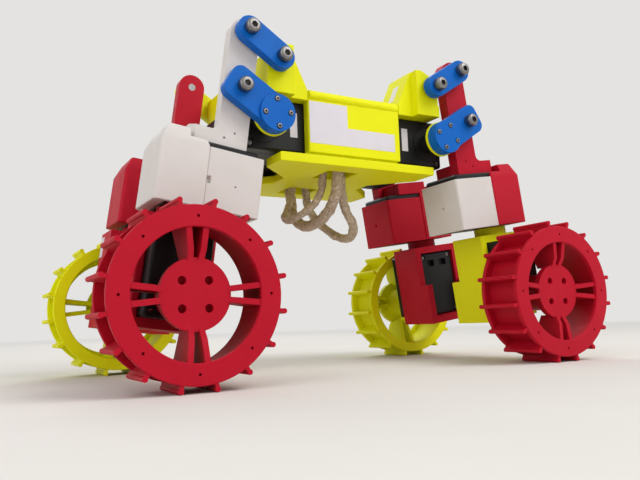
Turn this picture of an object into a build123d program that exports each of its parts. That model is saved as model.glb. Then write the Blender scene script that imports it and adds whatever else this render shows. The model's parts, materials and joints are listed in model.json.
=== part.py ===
from build123d import *
import os
from math import atan2, cos, degrees, radians, sin, sqrt, tan

# Planetary rover prototype: a hand-sized four-wheeled robot of printed plastic and hobby servos.
# Each wheel hangs on a leg that a lift servo raises through a parallel linkage, that a sweep servo
# turns about a vertical axis, and that a drive servo rolls.
# Millimetres. X points forward, Y to the rover's left, Z up.
# Origin: on the ground, below the middle of the body.
# The front right leg is modelled in its place, and the other three are its mirror images.

# Hobby servo, the module that sizes everything else
servo_len = 50.0
servo_wide = 32.0
servo_deep = 38.0
servo_axis_inset = 11.5      # output axis to the nearer end of the case
servo_edge = 1.2             # chamfer of the case
horn_r = 11.0
boss_r = 6.5
running_gap = 0.3            # between faces that turn past each other

# How far a cut runs past the face it opens, and how far fused forms run into each other
past = 1.0
bite = 1.0

# Wheel
lug_tip_r = 46.0
rim_r = 42.0                 # outer edge of the two side rings
ring_open_r = 31.5           # opening of the outer side ring
ring_thick = 3.0
drum_r = 37.0
drum_wall = 2.4
wheel_wide = 31.0
lug_count = 16
lug_thick = 1.8
lug_bead_wide = 2.6          # six-sided bead along each lug's tip
lug_bead_tall = 2.2
lug_end_in = 0.5             # lugs' ends, inward of the side rings' faces
hub_r = 17.5
hub_thick = 4.0
hub_recess = 5.0
barrel_r = 12.0
spoke_pairs = 4
spoke_thick = 2.8
spoke_gap_rim = 8.5          # between the middles of a pair's two ribs, at the rim
spoke_gap_hub = 5.5
spoke_knee_r = 21.0          # where the ribs' front edge bends, and how far behind the wheel's face
spoke_knee_in = 2.0
spoke_front_in = 0.5         # ribs' front edge at the rim, behind the wheel's face
spoke_back_in = 6.0          # ribs' back edge at the rim, from the wheel's inner side
spoke_deep_hub = 12.0        # ribs' depth at the hub

# Linkage, inward from the crank's outer face
lift_servo_in = 22.5         # lift servo's output face, inward of the crank's outer face
servo_back_gap = 1.5         # lift servo's back to the rover's middle plane
crank_thick = 8.0
crank_wide = 20.0
crank_disc_raise = 1.5
crank_len = 24.0
crank_end = 10.0             # squared end, beyond the lower pivot
crank_corner = 5.5
crank_angle = 33.0           # above level, at rest
pin_r = 2.5
pin_clear = 0.05
pin_head_r = 4.25
pin_head_thick = 5.0
link_open_clear = 0.3        # at the pivot where the linkage closes
link_wide = 15.0
lift_axis_x = 62.5
upper_in = 5.0               # upper pivot, inboard of the lift axis
upper_up = 35.0              # and above it

# Leg, square to the line through its two pivots, so that it leans with it
upright_gap = 2.0            # behind the crank
upright_thick = 8.0
upright_wide = 18.0
pin_above_servo = 35.0       # lower pivot above the sweep servo's top
foot_thick = 9.0
foot_len = 34.0
foot_heel = 4.0              # foot's deep part, inboard of the lower pivot
foot_corner = 3.0
foot_fillet = 4.0            # in the corner between the upright and the foot's outboard part
sweep_out = 22.5             # sweep axis, outboard of the lower pivot
sweep_in = 22.5              # and inward of the crank's outer face
box_wall = 2.5
box_len = 30.0
box_below_top = 3.5          # bare top of the sweep servo that shows above its box
box_corner = 1.5
cover_wall = 3.0
cover_end = 7.0              # cover's outer face beyond the servo
cover_rise = 5.0             # cover's top above the servo
cover_slope_tall = 9.0       # the cover's sloped top, on all four sides
cover_slope_in = 3.5
cover_edge = 1.5
knuckle_wall = 5.0
knuckle_front_in = 10.5      # side plates' front edge, inward of the crank's outer face
knuckle_lip = 2.0            # plates' back edge behind the drive servo
knuckle_step = 8.0           # how much deeper the knuckle's lower half is
knuckle_corner = 1.5
horn_gap = 5.5               # sweep servo's case to the knuckle
wheel_out = 33.5             # wheel's outer face, outward of the crank's
wheel_gap = 2.0              # between the wheel and the drive servo

# Body
deck_thick = 5.5
deck_half_len = 57.0
deck_waist = 33.0            # half length at the rover's middle
deck_edge_in = 10.0          # edge, inward of the crank's outer face
deck_edge_straight = 20.0    # before the outline turns in to the waist
deck_waist_straight = 16.0
deck_drop = 19.5             # top of the deck below the lift axis
cable_slot_front = 6.0       # the deck's two cable slots, from the rover's middle
cable_slot_rear = 16.0
cable_slot_in = 16.0
cable_slot_out = 38.0
body_face_in = 16.0
body_half_len = 34.5
body_lip = 7.0
tower_deep = 30.0
tower_face_in = 10.0
tower_toe = 2.0              # base, outboard of the lift axis
tower_ledge = 8.0            # height of the toe
tower_shoulder = 6.0         # material round the upper pivot
tower_peak_in = 7.0          # peak, inboard of the upper pivot
tower_peak_up = 12.0         # and above it
tower_peak_flat = 5.0
tower_bore_deep = 14.0

# Cables
cable_arc_share = 0.45       # of the shorter of two runs, that the arc between them takes
# Bundles that hang from one slot to the other: radius, and a route of X, Y and drop below the housing
cable_routes = {
    "cable_thick": (3.5, [(-5, -30, 0), (-5, -30, 12.8), (-6, -24, 24.3), (-8, -13, 32.3), (-11, 0, 35.8),
                          (-12, 13, 32.3), (-11, 24, 23.8), (-10, 29, 12.3), (-10, 29, 0)]),
    "cable_long": (2.8, [(2, -22, 0), (2, -22, 13.3), (7, -17.5, 26.5), (17, -12.5, 34), (22, -2.5, 40.5),
                         (24, 7, 42), (22.5, 18.5, 39.5), (18, 27.5, 32.5), (10.5, 31, 24.5), (2, 28, 13), (2, 28, 0)]),
    "cable_thin": (2.4, [(-11, -21, 0), (-11, -21, 11.3), (-15, -18, 22.3), (-22, -11, 29.3), (-26, 1, 32.3),
                         (-24, 13, 28.3), (-17, 19, 20.3), (-12.5, 20.5, 10.3), (-12.5, 20.5, 0)]),
}

# Places that follow. The leg's own frame has its origin at the lower pivot, X outboard, Z up.
half_track = lift_servo_in + servo_deep + servo_back_gap    # crank's outer face to the rover's middle plane
servo_root_x = lift_axis_x + servo_axis_inset - servo_len   # lift servos' inner ends
leg_lean = degrees(atan2(upper_in, upper_up))
servo_top = -pin_above_servo
servo_base = servo_top - servo_deep
knuckle_top = servo_base - horn_gap
drive_top = knuckle_top - knuckle_wall
wheel_drop = drive_top - (servo_len - servo_axis_inset)
case_out = sweep_out + servo_axis_inset
case_in = case_out - servo_len
sweep_y = -half_track + sweep_in
upright_y = -half_track + crank_thick + upright_gap
servo_face_y = -half_track + lift_servo_in
wheel_face_y = -half_track - wheel_out
drive_face_y = wheel_face_y + wheel_wide + wheel_gap
upright_half = upright_wide / 2
foot_end = foot_len - upright_half

# The same in the rover's frame
pin_dx = crank_len * cos(radians(crank_angle))
pin_dz = crank_len * sin(radians(crank_angle))
pin_x = lift_axis_x + pin_dx
leg_sin = sin(radians(leg_lean))
leg_cos = cos(radians(leg_lean))
axle_x = pin_x + sweep_out * leg_cos - wheel_drop * leg_sin
lug_half_step = radians(180 / lug_count)
axle_z = lug_tip_r * cos(lug_half_step) + lug_thick / 2 * sin(lug_half_step)    # it stands on two lugs
pin_z = axle_z - wheel_drop * leg_cos - sweep_out * leg_sin
lift_z = pin_z - pin_dz
upper_x = lift_axis_x - upper_in
upper_z = lift_z + upper_up
outer_x = upper_x + pin_dx
outer_z = upper_z + pin_dz
leg_place = Pos(pin_x, 0, pin_z) * Rot(0, -leg_lean, 0)


def block(x0, x1, y0, y1, z0, z1):
    """A box between two opposite corners."""
    return Pos((x0 + x1) / 2, (y0 + y1) / 2, (z0 + z1) / 2) * Box(x1 - x0, y1 - y0, z1 - z0)


def rod_y(x, z, y0, y1, r):
    """A round rod along Y."""
    return Pos(x, (y0 + y1) / 2, z) * Rot(90, 0, 0) * Cylinder(r, y1 - y0)


def plate_y(outline, y0, y1):
    """A plate across Y with an outline drawn in X and Z."""
    face = Plane.XZ.offset(-y0) * make_face(Polyline([(x, z) for x, z in outline], close=True))
    return extrude(face, y1 - y0, dir=(0, 1, 0))


def servo_case():
    """Servo with its output face on Z = 0, looking up, its axis on Z and its long end towards -X."""
    case = Box(servo_len, servo_wide, servo_deep, align=(Align.MAX, Align.CENTER, Align.MAX))
    case = chamfer(case.edges(), servo_edge)
    case = Pos(servo_axis_inset, 0, 0) * case
    return case


def arm(x0, z0, x1, z1, wide, y0, y1):
    """A straight bar with round ends between two pivots."""
    length = sqrt((x1 - x0) ** 2 + (z1 - z0) ** 2)
    turn = degrees(atan2(z1 - z0, x1 - x0))
    flat = Rot(90, 0, 0) * extrude(SlotCenterToCenter(length, wide), y1 - y0, both=False)
    return Pos((x0 + x1) / 2, y1, (z0 + z1) / 2) * Rot(0, -turn, 0) * flat


def crank():
    """Lift arm: a wide bar with a squared end, and a raised round one on the servo's horn."""
    y0 = -half_track + crank_disc_raise
    y1 = -half_track + crank_thick
    bar = block(0, crank_len + crank_end, y0, y1, -crank_wide / 2, crank_wide / 2)
    bar = fillet(bar.edges().filter_by(Axis.Y).sort_by(Axis.X)[-2:], crank_corner)
    bar = Pos(lift_axis_x, 0, lift_z) * Rot(0, -crank_angle, 0) * bar
    disc = rod_y(lift_axis_x, lift_z, -half_track, y1, horn_r)
    post = rod_y(lift_axis_x, lift_z, y1, servo_face_y - running_gap, boss_r)
    body = bar + disc + post
    return body - rod_y(pin_x, pin_z, y0 - past, y1 + past, pin_r + pin_clear)


def link():
    """Upper arm of the linkage, parallel to the crank."""
    y0 = -half_track + crank_disc_raise
    y1 = -half_track + crank_thick
    bar = arm(upper_x, upper_z, outer_x, outer_z, link_wide, y0, y1)
    bar -= rod_y(upper_x, upper_z, y0 - past, y1 + past, pin_r + pin_clear)
    return bar - rod_y(outer_x, outer_z, y0 - past, y1 + past, pin_r + link_open_clear)


def pivot_pin(x, z, y_in):
    """Bolt whose head bears on the arm's outer face and whose shank ends at y_in."""
    y0 = -half_track + crank_disc_raise - running_gap
    return rod_y(x, z, y0, y_in, pin_r) + rod_y(x, z, y0 - pin_head_thick, y0, pin_head_r)


def upright():
    """Leg plate that carries both pivots and stands on a foot over the sweep servo."""
    y0, y1 = upright_y, upright_y + upright_thick
    reach = sqrt(upper_in ** 2 + upper_up ** 2)
    foot_top = servo_top + foot_thick
    bar = block(-upright_half, upright_half, y0, y1, servo_top, reach) + rod_y(0, reach, y0, y1, upright_half)
    foot = block(-upright_half, foot_end, y0, y1, servo_top, foot_top)
    foot_back = sweep_y + servo_wide / 2
    foot += block(-foot_heel, foot_end, y1 - bite, foot_back, servo_top, foot_top)
    corners = foot.edges().filter_by(Axis.Z).sort_by(Axis.X)[-2:]
    foot = chamfer(corners, foot_corner)
    web = block(upright_half - bite, upright_half + foot_fillet, y0, y1, foot_top - bite, foot_top + foot_fillet)
    web -= rod_y(upright_half + foot_fillet, foot_top + foot_fillet, y0 - past, y1 + past, foot_fillet)
    return leg_place * (bar + foot + web)


def sweep_servo():
    """Servo that turns the leg's lower half: its output looks down, at its outboard end."""
    return leg_place * Pos(sweep_out, sweep_y, servo_base) * Rot(180, 0, 0) * servo_case()


def servo_box():
    """Open sleeve round the inboard end of the sweep servo."""
    y0, y1 = sweep_y - servo_wide / 2, sweep_y + servo_wide / 2
    x1 = case_in + box_len
    top = servo_top - box_below_top
    sleeve = block(case_in - box_wall, x1, y0 - box_wall, y1 + box_wall, servo_base, top)
    sleeve = fillet(sleeve.edges().filter_by(Axis.Z).sort_by(Axis.X)[:2], box_corner)
    return leg_place * (sleeve - block(case_in, x1 + past, y0, y1, servo_base - past, top + past))


def end_cover():
    """Cap over the outboard end of the sweep servo, with a sloped top and a notch for the foot."""
    y0, y1 = sweep_y - servo_wide / 2 - cover_wall, sweep_y + servo_wide / 2 + cover_wall
    x0 = case_in + box_len
    x1 = case_out + cover_end
    top = servo_top + cover_rise
    slope_z = top - cover_slope_tall
    body = block(x0, x1, y0, y1, servo_base, slope_z)
    posts = body.edges().filter_by(Axis.Z).sort_by(Axis.X)[-2:]
    body = chamfer(posts, cover_edge)
    rim = body.faces().sort_by(Axis.Z)[-1]
    inset = cover_slope_in
    crown = Pos((x0 + x1) / 2, (y0 + y1) / 2, top) * Rectangle(x1 - x0 - 2 * inset, y1 - y0 - 2 * inset)
    crown = chamfer(crown.vertices().sort_by(Axis.X)[-2:], cover_edge)
    body += loft([rim, crown.face()])
    body -= block(x0 - past, case_out, y0 + cover_wall, y1 - cover_wall, servo_base - past, servo_top)
    return leg_place * (body - block(x0 - past, foot_end, y0 - past, y1 + past, servo_top, top + past))


def knuckle():
    """Frame round the drive servo: top, bottom and two sides, deeper in its lower half."""
    half = servo_wide / 2
    outer = half + knuckle_wall
    base = drive_top - servo_len
    low = base - knuckle_wall
    y0 = -half_track + knuckle_front_in
    y1 = drive_face_y + servo_deep + knuckle_lip
    y2 = y1 + knuckle_step
    frame = block(-outer, outer, y0, y1, low, knuckle_top)
    frame += block(-outer, outer, y1, y2, low, (base + drive_top) / 2)
    frame -= block(-half, half, y0 - past, y2 + past, base, drive_top)
    frame = fillet(frame.edges().filter_by(Axis.Z).group_by(Axis.Y)[0], knuckle_corner)
    horn = Cylinder(horn_r, horn_gap - running_gap, align=(Align.CENTER, Align.CENTER, Align.MIN))
    frame += Pos(0, sweep_y, knuckle_top) * horn
    return leg_place * Pos(sweep_out, 0, 0) * frame


def drive_servo():
    """Servo that rolls the wheel: it stands on end, its output low and looking outward."""
    stand = Rot(90, 0, 0) * Rot(0, 0, -90) * servo_case()
    return leg_place * Pos(sweep_out, drive_face_y, wheel_drop) * stand


def wheel():
    """Open wheel: a recessed hub, pairs of ribs, two side rings, a drum and cross lugs."""
    face = wheel_face_y
    back = face + wheel_wide
    drum = Cylinder(drum_r, wheel_wide) - Cylinder(drum_r - drum_wall, wheel_wide)
    ring = Cylinder(rim_r, ring_thick) - Cylinder(ring_open_r, ring_thick)
    ring_shift = (wheel_wide - ring_thick) / 2
    body = drum + Pos(0, 0, ring_shift) * ring
    back_ring = Cylinder(rim_r, ring_thick) - Cylinder(drum_r - drum_wall, ring_thick)
    body += Pos(0, 0, -ring_shift) * back_ring
    lug_half = lug_thick / 2
    bead_mid = lug_tip_r - lug_bead_tall / 2
    lug_side = [(drum_r - bite, lug_half), (lug_tip_r - lug_bead_tall, lug_half),
                (bead_mid, lug_bead_wide / 2), (lug_tip_r, lug_half)]
    lug_profile = make_face(Polyline(lug_side + [(x, -y) for x, y in reversed(lug_side)], close=True))
    lug = extrude(lug_profile, wheel_wide / 2 - lug_end_in, both=True)
    for index in range(lug_count):
        body += Rot(0, 0, 360 / lug_count * (index + 0.5)) * lug
    hub_top = wheel_wide / 2 - hub_recess
    hub = Pos(0, 0, hub_top) * Cylinder(hub_r, hub_thick, align=(Align.CENTER, Align.CENTER, Align.MAX))
    barrel_len = hub_top + wheel_wide / 2 + wheel_gap - running_gap
    barrel = Cylinder(barrel_r, barrel_len, align=(Align.CENTER, Align.CENTER, Align.MAX))
    hub = hub + Pos(0, 0, hub_top) * barrel
    rib_front = wheel_wide / 2 - spoke_front_in
    rib_back = spoke_back_in - wheel_wide / 2
    rib_root = hub_r - 2 * bite
    rib_end = drum_r - bite
    knee = (spoke_knee_r, wheel_wide / 2 - spoke_knee_in)
    rib_outline = [(rib_root, hub_top), knee, (ring_open_r + bite, rib_front), (rib_end, rib_front),
                   (rib_end, rib_back), (rib_root, hub_top - spoke_deep_hub)]
    splay = degrees(atan2((spoke_gap_rim - spoke_gap_hub) / 2, ring_open_r - hub_r))
    for pair in range(spoke_pairs):
        for side in (-1, 1):
            rib = Plane.XZ * make_face(Polyline(rib_outline, close=True))
            rib = extrude(rib, spoke_thick / 2, both=True)
            rib = Pos(-hub_r, 0, 0) * rib
            rib = Pos(hub_r, side * spoke_gap_hub / 2, 0) * Rot(0, 0, side * splay) * rib
            body += Rot(0, 0, 360 / spoke_pairs * pair) * rib
    return Pos(axle_x, (face + back) / 2, axle_z) * Rot(90, 0, 0) * (body + hub)


def lift_servo():
    """Servo that raises a leg: it lies along the body, its output at the outboard end."""
    return Pos(lift_axis_x, servo_face_y, lift_z) * Rot(90, 0, 0) * servo_case()


def tower():
    """Peaked block on the lift servo that carries the upper pivot."""
    y0 = -half_track + tower_face_in
    base = lift_z + servo_wide / 2
    toe_x = lift_axis_x + tower_toe
    shoulder_x = upper_x + tower_shoulder
    peak_x = upper_x - tower_peak_in
    peak_z = upper_z + tower_peak_up
    outline = [(body_half_len, base), (toe_x, base), (toe_x, base + tower_ledge),
               (shoulder_x, base + tower_ledge), (shoulder_x, upper_z + tower_shoulder),
               (peak_x, peak_z), (peak_x - tower_peak_flat, peak_z), (body_half_len, base + body_lip)]
    body = plate_y(outline, y0, y0 + tower_deep)
    return body - rod_y(upper_x, upper_z, y0 - past, y0 + tower_bore_deep, pin_r + pin_clear)


def deck():
    """Deck plate, waisted at the middle of the body, with a cable slot on each side."""
    edge = half_track - deck_edge_in
    top = lift_z - deck_drop
    turn = edge - deck_edge_straight
    waist = deck_waist_straight / 2
    outline = [(deck_half_len, -edge), (deck_half_len, -turn), (deck_waist, -waist),
               (deck_waist, waist), (deck_half_len, turn), (deck_half_len, edge)]
    outline += [(-x, y) for x, y in reversed(outline)]
    plate = Pos(0, 0, top - deck_thick) * extrude(make_face(Polyline(outline, close=True)), deck_thick)
    for y0, y1 in ((-cable_slot_out, -cable_slot_in), (cable_slot_in, cable_slot_out)):
        plate -= block(-cable_slot_rear, cable_slot_front, y0, y1, top - deck_thick - past, top + past)
    return plate


def body_box():
    """Housing between the servos, with a face plate on each side and a thick lid."""
    face = half_track - body_face_in
    low = lift_z - deck_drop
    top = lift_z + servo_wide / 2
    body = block(-servo_root_x, servo_root_x, servo_face_y, -servo_face_y, low, top)
    for y0, y1 in ((-face, servo_face_y), (-servo_face_y, face)):
        body += block(-body_half_len, body_half_len, y0, y1, low, top)
    return body + block(-body_half_len, body_half_len, -face, face, top, top + body_lip)


def cable(radius, route):
    """Bundle that hangs in a loop: straight runs joined by tangent arcs as large as the runs allow."""
    points = [Vector(x, y, lift_z - deck_drop - drop) for x, y, drop in route]
    runs = [after - before for before, after in zip(points, points[1:])]
    bends = []
    for before, after in zip(runs, runs[1:]):
        half_turn = radians(before.get_angle(after) / 2)
        bends.append(cable_arc_share * min(before.length, after.length) / tan(half_turn))
    path = FilletPolyline(*points, radius=bends)
    print("cable radii", [round(bend, 1) for bend in bends], "length", round(path.length, 1))
    return sweep(Plane(points[0], z_dir=runs[0]) * Circle(radius), path)


def each_leg(name, solid):
    """The front right piece and its three mirror images, by name."""
    front_left = mirror(solid, about=Plane.XZ)
    return {
        name + "_front_right": solid,
        name + "_front_left": front_left,
        name + "_rear_right": mirror(solid, about=Plane.YZ),
        name + "_rear_left": mirror(front_left, about=Plane.YZ),
    }


def tower_pins():
    """The four bolts on which the upper links turn."""
    pin = pivot_pin(upper_x, upper_z, -half_track + tower_face_in + tower_bore_deep - bite)
    return Compound(children=list(each_leg("pin", pin).values()))


def leg_pins():
    """The two bolts that are fixed in the upright."""
    lower = pivot_pin(pin_x, pin_z, upright_y + upright_thick)
    upper = pivot_pin(outer_x, outer_z, upright_y + upright_thick)
    return lower, upper


lower_pin, upper_pin = leg_pins()
leg_plate = upright() - lower_pin - upper_pin
pieces = {"deck_plate": deck(), "body_box": body_box(), "tower_pins": tower_pins()}
for cable_name, (cable_r, cable_route) in cable_routes.items():
    pieces[cable_name] = cable(cable_r, cable_route)
for part_name, part_solid in {
    "lift_servo": lift_servo(),
    "tower": tower(),
    "crank": crank(),
    "link": link(),
    "upright": leg_plate,
    "leg_pins": Compound(children=[lower_pin, upper_pin]),
    "sweep_servo": sweep_servo(),
    "servo_box": servo_box(),
    "end_cover": end_cover(),
    "knuckle": knuckle(),
    "drive_servo": drive_servo(),
    "wheel": wheel(),
}.items():
    pieces.update(each_leg(part_name, part_solid))

os.makedirs("parts", exist_ok=True)
for part_name, part_solid in pieces.items():
    export_step(part_solid, f"parts/{part_name}.step")
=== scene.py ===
# %% [markdown]
# # A small rover of printed plastic, dressed for the studio
# The rover's structure is already built: legs, wheels, servos and deck stand where they belong.
# This lesson gives each piece the look of the real one. Printed plastic has soft edges and fine layer
# lines, servos have seams and case screws, bolts have hexagon sockets, and labels are thin paper.
# Everything is in metres, in the frame of the structure, so nothing has to be fitted by eye.

# %% Start from the frame
import json
from math import atan2, cos, degrees, pi, radians, sin

import bmesh
import bpy
from mathutils import Matrix, Vector


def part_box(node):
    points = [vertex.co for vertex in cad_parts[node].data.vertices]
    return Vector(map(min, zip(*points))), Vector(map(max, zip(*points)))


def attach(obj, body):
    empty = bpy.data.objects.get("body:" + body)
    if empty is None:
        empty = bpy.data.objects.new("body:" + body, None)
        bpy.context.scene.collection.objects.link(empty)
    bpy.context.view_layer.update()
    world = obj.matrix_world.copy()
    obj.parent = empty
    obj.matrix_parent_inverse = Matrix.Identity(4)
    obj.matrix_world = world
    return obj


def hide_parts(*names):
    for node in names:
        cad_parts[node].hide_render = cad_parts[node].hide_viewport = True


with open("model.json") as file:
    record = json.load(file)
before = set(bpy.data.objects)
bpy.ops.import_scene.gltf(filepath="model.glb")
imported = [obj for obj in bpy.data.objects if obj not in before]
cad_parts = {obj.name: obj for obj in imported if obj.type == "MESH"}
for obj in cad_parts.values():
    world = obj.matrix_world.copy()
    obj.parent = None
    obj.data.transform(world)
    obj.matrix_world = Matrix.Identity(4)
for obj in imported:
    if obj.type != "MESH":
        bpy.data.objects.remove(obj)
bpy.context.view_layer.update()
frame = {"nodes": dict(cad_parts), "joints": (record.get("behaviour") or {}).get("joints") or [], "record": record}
MM = 0.001

# %% [markdown]
# ## Four legs from one
# The four legs are mirror images, so each detail is drawn once, on the front right leg, and is then
# mirrored. A table of two signs per leg is enough: forward or back, left or right. The joints in the
# frame say where the pivots are, so no size has to be copied for them.

# %% Legs, pivots and the slots of each piece
LEGS = {"front_right": (1, -1), "front_left": (1, 1), "rear_right": (-1, -1), "rear_left": (-1, 1)}
SLOT_OF = {part["node"]: part["material_slot"] for part in frame["record"]["subparts"]}
BODY_OF = {node: body for body, nodes in frame["record"]["behaviour"]["bodies"].items() for node in nodes}
joints = {joint["name"]: joint for joint in frame["joints"]}


def pivot(kind):
    """Where a joint of the front right leg is."""
    return Vector(joints[kind + "_front_right"]["pos_m"])


lift, upper, pin, sweep, hub = (pivot(kind) for kind in ("lift", "link", "level", "sweep", "spin"))
leg_up = Vector(joints["sweep_front_right"]["axis"])
leg_out = Vector((leg_up.z, 0, -leg_up.x))
crank_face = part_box("crank_front_right")[0].y
link_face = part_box("link_front_right")[0].y
servo_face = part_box("lift_servo_front_right")[0].y
leg_place = Matrix((leg_out, (0, 1, 0), leg_up)).transposed().to_4x4()
leg_place.translation = Vector((pin.x, 0, pin.z))
print("leg leans", round(degrees(atan2(-leg_up.x, leg_up.z)), 2), "degrees")


def mirror_of(leg):
    """The matrix that turns the front right leg into this leg."""
    forward, side = LEGS[leg]
    return Matrix.Diagonal((forward, -side, 1, 1))


def at_lift(y):
    """The matrix that moves a shape to the lift axis, this far along Y."""
    return Matrix.Translation((lift.x, y, lift.z))


# %% [markdown]
# ## Small solids to cut with
# Most details are cut into a piece or laid on it: screw holes, seams, sockets. Boolean modifiers need
# closed shapes whose faces point outwards, so each helper here recalculates its normals.

# %% Solids
def linked(name, data):
    """A new object at the origin of the scene."""
    made = bpy.data.objects.new(name, data)
    bpy.context.scene.collection.objects.link(made)
    return made


def mesh_from(name, shape):
    """A mesh from a bmesh, which is freed."""
    mesh = bpy.data.meshes.new(name)
    shape.to_mesh(mesh)
    shape.free()
    return mesh


def to_object(name, shape):
    """An object from a bmesh, with its faces turned outwards."""
    bmesh.ops.recalc_face_normals(shape, faces=shape.faces)
    return linked(name, mesh_from(name, shape))


def bridge(shape, ring, other):
    """Closes the wall between two rings of as many points."""
    for i in range(len(ring)):
        j = (i + 1) % len(ring)
        shape.faces.new((ring[i], ring[j], other[j], other[i]))


def prism(name, outline, low, high):
    """A solid between two heights over a flat outline."""
    shape = bmesh.new()
    rings = [[shape.verts.new((x, y, z)) for x, y in outline] for z in (low, high)]
    for ring in rings:
        shape.faces.new(ring)
    bridge(shape, *rings)
    return to_object(name, shape)


def rectangle(x, y):
    """The corners of a rectangle from two pairs of limits."""
    return [(x[0], y[0]), (x[1], y[0]), (x[1], y[1]), (x[0], y[1])]


def block(name, x, y, z):
    """A box from three pairs of limits."""
    return prism(name, rectangle(x, y), *z)


def circle(radius, sides):
    """Points round a circle."""
    return [(radius * cos(2 * pi * i / sides), radius * sin(2 * pi * i / sides)) for i in range(sides)]


def closed(name, shape, rings):
    """An object whose rings are joined one to the next, and the last to the first."""
    for ring, other in zip(rings, rings[1:] + rings[:1]):
        bridge(shape, ring, other)
    return to_object(name, shape)


def lathe(name, profile, sides=96):
    """A solid of revolution about Z from a closed outline of radius and height."""
    shape = bmesh.new()
    return closed(name, shape, [[shape.verts.new((r * x, r * y, z)) for x, y in circle(1, sides)]
                                for r, z in profile])


def hollow(name, outside, inside, low, high):
    """A closed frame between two outlines of as many points."""
    shape = bmesh.new()
    corners = ((outside, low), (outside, high), (inside, high), (inside, low))
    return closed(name, shape, [[shape.verts.new((x, y, z)) for x, y in outline] for outline, z in corners])


def placed(made, matrix):
    """Moves the object's mesh, and keeps its faces outwards if the matrix mirrors."""
    made.data.transform(matrix)
    if matrix.determinant() < 0:
        made.data.flip_normals()
    return made


def copy_of(made, name):
    """A second object with its own mesh."""
    return linked(name, made.data.copy())


def drop(*things):
    """Removes helper objects."""
    for thing in things:
        bpy.data.objects.remove(thing)


def joined(name, parts):
    """One object from several, without their modifiers."""
    shape = bmesh.new()
    for part in parts:
        shape.from_mesh(part.data)
    drop(*parts)
    return linked(name, mesh_from(name, shape))


# %% [markdown]
# ## Settling modifiers
# A modifier is a recipe, and the finished piece should be a plain mesh. Evaluating the object and taking
# the result as a new mesh settles it. The same few lines serve booleans, bevels and Geometry Nodes.

# %% Settle, cut and soften
SHARP = radians(38)


def evaluated(made):
    """What the object's modifiers make of it, as a new mesh."""
    graph = bpy.context.evaluated_depsgraph_get()
    return bpy.data.meshes.new_from_object(made.evaluated_get(graph))


def settle(made):
    """Replaces the object's mesh by what its modifiers make of it."""
    mesh = evaluated(made)
    made.modifiers.clear()
    made.data = mesh
    return made


def boolean(made, cutters):
    """Cuts the cutters out of the object, one after another, and removes them."""
    for cutter in cutters:
        step = made.modifiers.new("cut", "BOOLEAN")
        step.operation = "DIFFERENCE"
        step.solver = "EXACT"
        step.object = cutter
    settle(made)
    drop(*cutters)


def soften(made, width, segments=2):
    """Rounds the sharp edges a little, and shades the flats flat."""
    bevel = made.modifiers.new("edges", "BEVEL")
    bevel.width = width
    bevel.segments = segments
    bevel.limit_method = "ANGLE"
    bevel.angle_limit = SHARP
    settle(made)
    return shade(made)


def shade(made, least=32):
    """Smooth shading that stops at edges."""
    made.data.shade_smooth()
    made.data.set_sharp_from_angle(angle=radians(least))
    return made


# %% [markdown]
# ## Node trees as Python expressions
# A noise, a product and a sum are clearer as one line of arithmetic than as a dozen boxes and wires. Here
# the operators of a number add Math nodes, so a bump height can be written as `0.3 * layers + grain`.

# %% A number in a node tree
def operator(operation, reflected=False):
    """A method of a number that adds a Math node for this operation."""
    def method(self, other=0.0):
        first, second = (other, self) if reflected else (self, other)
        return self.tree.add("ShaderNodeMath", {"operation": operation}, {0: first, 1: second})
    return method


class Number:
    """A value that a node tree works out. Arithmetic on it adds Math nodes."""

    def __init__(self, tree, socket):
        self.tree = tree
        self.socket = socket

    def __neg__(self):
        return -1.0 * self

    __add__ = operator("ADD")
    __radd__ = operator("ADD", reflected=True)
    __sub__ = operator("SUBTRACT")
    __rsub__ = operator("SUBTRACT", reflected=True)
    __mul__ = operator("MULTIPLY")
    __rmul__ = operator("MULTIPLY", reflected=True)
    __truediv__ = operator("DIVIDE")
    __rtruediv__ = operator("DIVIDE", reflected=True)
    __abs__ = operator("ABSOLUTE")
    sine = operator("SINE")
    least = operator("MINIMUM")
    most = operator("MAXIMUM")
    over = operator("GREATER_THAN")
    arctangent = operator("ARCTANGENT")


class Tree:
    """A node tree under construction, of a material or of geometry."""

    def __init__(self, tree):
        self.tree = tree

    def add(self, kind, settings=None, inputs=None, out=0, **named):
        """Adds a node, gives it its settings and then its inputs, and returns one output."""
        node = self.tree.nodes.new(kind)
        for key, value in (settings or {}).items():
            setattr(node, key, value)
        self.feed(node, inputs, **named)
        return Number(self, node.outputs[out])

    def vector(self, **parts):
        """A vector from its X, Y and Z. What isn't given is nought."""
        return self.add("ShaderNodeCombineXYZ", **parts)

    def split(self, vector):
        """The three numbers of a vector."""
        node = self.tree.nodes.new("ShaderNodeSeparateXYZ")
        self.feed(node, {0: vector})
        return [Number(self, socket) for socket in node.outputs]

    def feed(self, node, inputs=None, **named):
        """Sets or links the inputs of a node, by number or by name with _ for a space."""
        inputs = (inputs or {}) | {label.replace("_", " "): value for label, value in named.items()}
        for key, value in inputs.items():
            if isinstance(value, (Number, list)):
                for one in value if isinstance(value, list) else [value]:
                    self.tree.links.new(one.socket, node.inputs[key])
            else:
                node.inputs[key].default_value = value


# %% [markdown]
# ## Printed plastic
# Each structural piece was printed in layers a fraction of a millimetre thick. Flat faces across the print
# direction show the nozzle's diagonal strokes, and the walls along it show the stacked layers. A bump that
# chooses between the two by the direction of the face gives both. Sun and handling leave the colour a
# little uneven, so a slow noise shifts both the colour and the gloss.

# %% Materials of plastic
LAYER = 0.32 * MM
STROKE = 0.55 * MM
FLAT_FROM = 0.8


def linear(*levels):
    """A colour for a shader from the 0 to 255 levels of a picture."""
    parts = [level / 255 for level in levels]
    return tuple(c / 12.92 if c <= 0.04045 else ((c + 0.055) / 1.055) ** 2.4 for c in parts) + (1.0,)


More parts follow.
